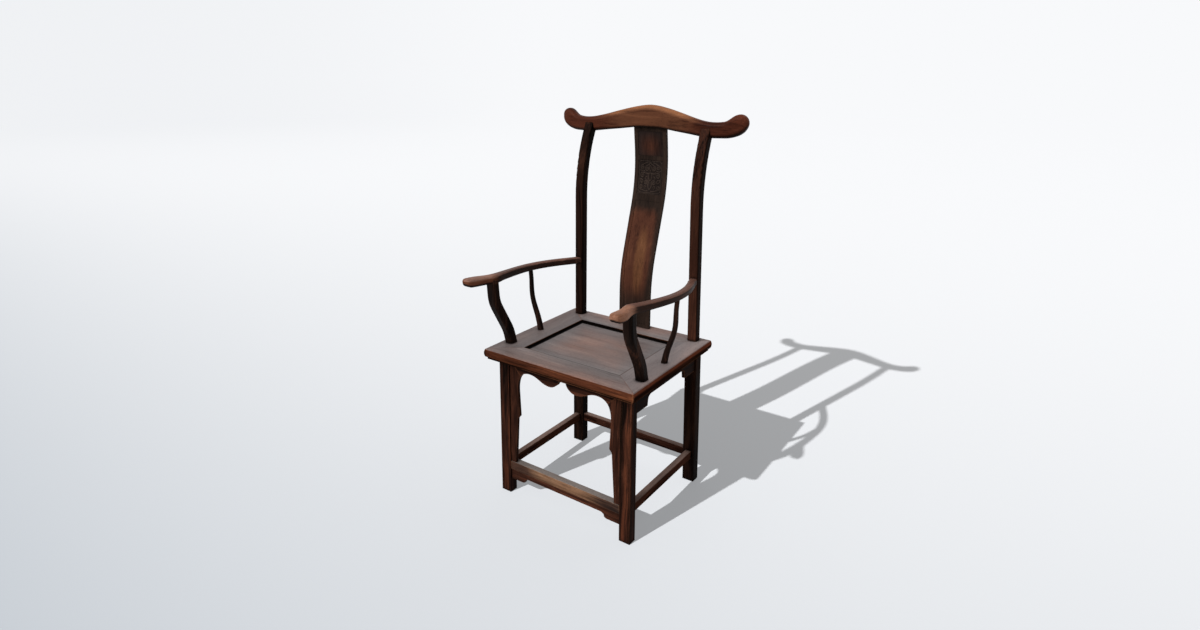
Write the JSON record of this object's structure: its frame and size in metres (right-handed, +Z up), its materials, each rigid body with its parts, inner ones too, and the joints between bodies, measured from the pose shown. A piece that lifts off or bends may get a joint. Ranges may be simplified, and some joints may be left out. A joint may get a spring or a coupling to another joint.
{
  "type": "official's hat armchair",
  "caption": "Tall wooden armchair with a shaped crest rail whose ends project past the posts, an S-curved framed splat, curved arms and a recessed panel seat.",
  "frame": {"origin": "on the floor, under the middle of the whole chair's bounding box", "axes": "+Z up, the front faces -Y, X = 0 is the plane of symmetry; left and right are as seen from the front, right is +X"},
  "size_m": [0.6604, 0.6052, 1.221],
  "materials": {
    "frame_wood": "dark red-brown hardwood, hand-rubbed oil over an old lacquer, worn at the edges",
    "crest_and_arms": "the same wood, rubbed lighter by hands, satin",
    "seat_wood": "worn grey-brown hardwood with a reddish middle, satin",
    "underside_wood": "bare, unfinished hardwood",
    "splat_light": "warm brown hardwood with upright grain, satin",
    "splat_dark": "near-black old lacquer over wood, satin",
    "apron_wood": "dark brown hardwood, satin",
    "stretcher_wood": "brown hardwood, worn lighter on top, satin",
    "pegs": "dark hardwood pegs, cut flush"
  },
  "bodies": {
    "root": {"arm_left": "crest_and_arms", "arm_right": "crest_and_arms", "crest_rail": "crest_and_arms", "crest_rail_pegs": "pegs", "foot_apron": "stretcher_wood", "foot_stretcher": "stretcher_wood", "front_apron_left": "apron_wood", "front_apron_right": "apron_wood", "front_apron_top": "apron_wood", "front_leg_left": "frame_wood", "front_leg_right": "frame_wood", "gooseneck_left": "frame_wood", "gooseneck_right": "frame_wood", "rear_apron": "apron_wood", "rear_leg_left": "frame_wood", "rear_leg_right": "frame_wood", "seat_batten_left": "underside_wood", "seat_batten_right": "underside_wood", "seat_frame_pegs": "pegs", "seat_panel": "seat_wood", "seat_rail_back": "seat_wood", "seat_rail_front": "seat_wood", "seat_rail_left": "seat_wood", "seat_rail_right": "seat_wood", "side_apron_left": "apron_wood", "side_apron_right": "apron_wood", "side_post_left": "frame_wood", "side_post_right": "frame_wood", "splat_panel_carved": "splat_dark", "splat_panel_lower": "splat_light", "splat_panel_top": "splat_dark", "splat_rail_bottom": "splat_dark", "splat_rail_lower": "splat_dark", "splat_rail_top": "splat_dark", "splat_rail_upper": "splat_dark", "splat_stile_left": "splat_dark", "splat_stile_right": "splat_dark", "stretcher_left": "stretcher_wood", "stretcher_rear": "stretcher_wood", "stretcher_right": "stretcher_wood"}
  },
  "joints": []
}
